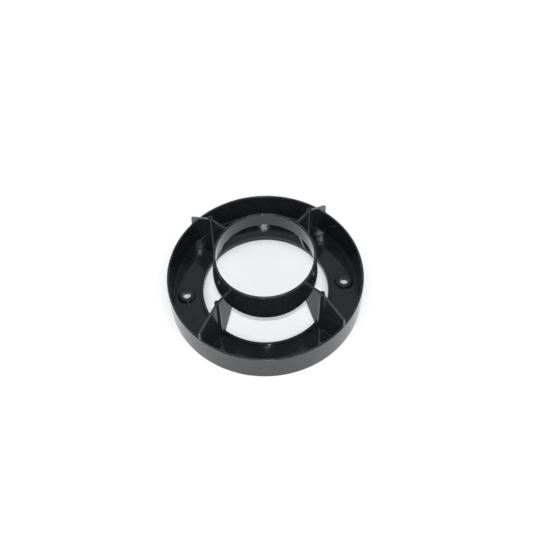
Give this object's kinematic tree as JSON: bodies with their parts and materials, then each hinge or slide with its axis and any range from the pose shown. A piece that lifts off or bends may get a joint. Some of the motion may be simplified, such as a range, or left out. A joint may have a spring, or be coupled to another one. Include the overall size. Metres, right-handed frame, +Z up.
{
  "type": "food waste disposer support ring",
  "caption": "Moulded black plastic support ring of a food waste disposer: a shallow round dish with a lipped opening and a short collar held above it on radial ribs.",
  "frame": {"origin": "on the ring's axis, in the plane of its underside", "axes": "+Z up along the ring's axis, out of the open side of the dish; X through the two screw holes; -Y is the front, where the collar is deepest"},
  "size_m": [0.16, 0.16, 0.0535],
  "materials": {
    "black_moulding": "glossy injection-moulded black plastic"
  },
  "bodies": {
    "root": {"outer_wall": "black_moulding", "floor_plate": "black_moulding", "opening_lip": "black_moulding", "inner_collar": "black_moulding", "screw_boss_left": "black_moulding", "screw_boss_right": "black_moulding", "post_back_right": "black_moulding", "web_back_right": "black_moulding", "gusset_back_right": "black_moulding", "post_back_left": "black_moulding", "web_back_left": "black_moulding", "gusset_back_left": "black_moulding", "post_front_left": "black_moulding", "web_front_left": "black_moulding", "gusset_front_left": "black_moulding", "post_front_right": "black_moulding", "web_front_right": "black_moulding", "gusset_front_right": "black_moulding"}
  },
  "joints": []
}
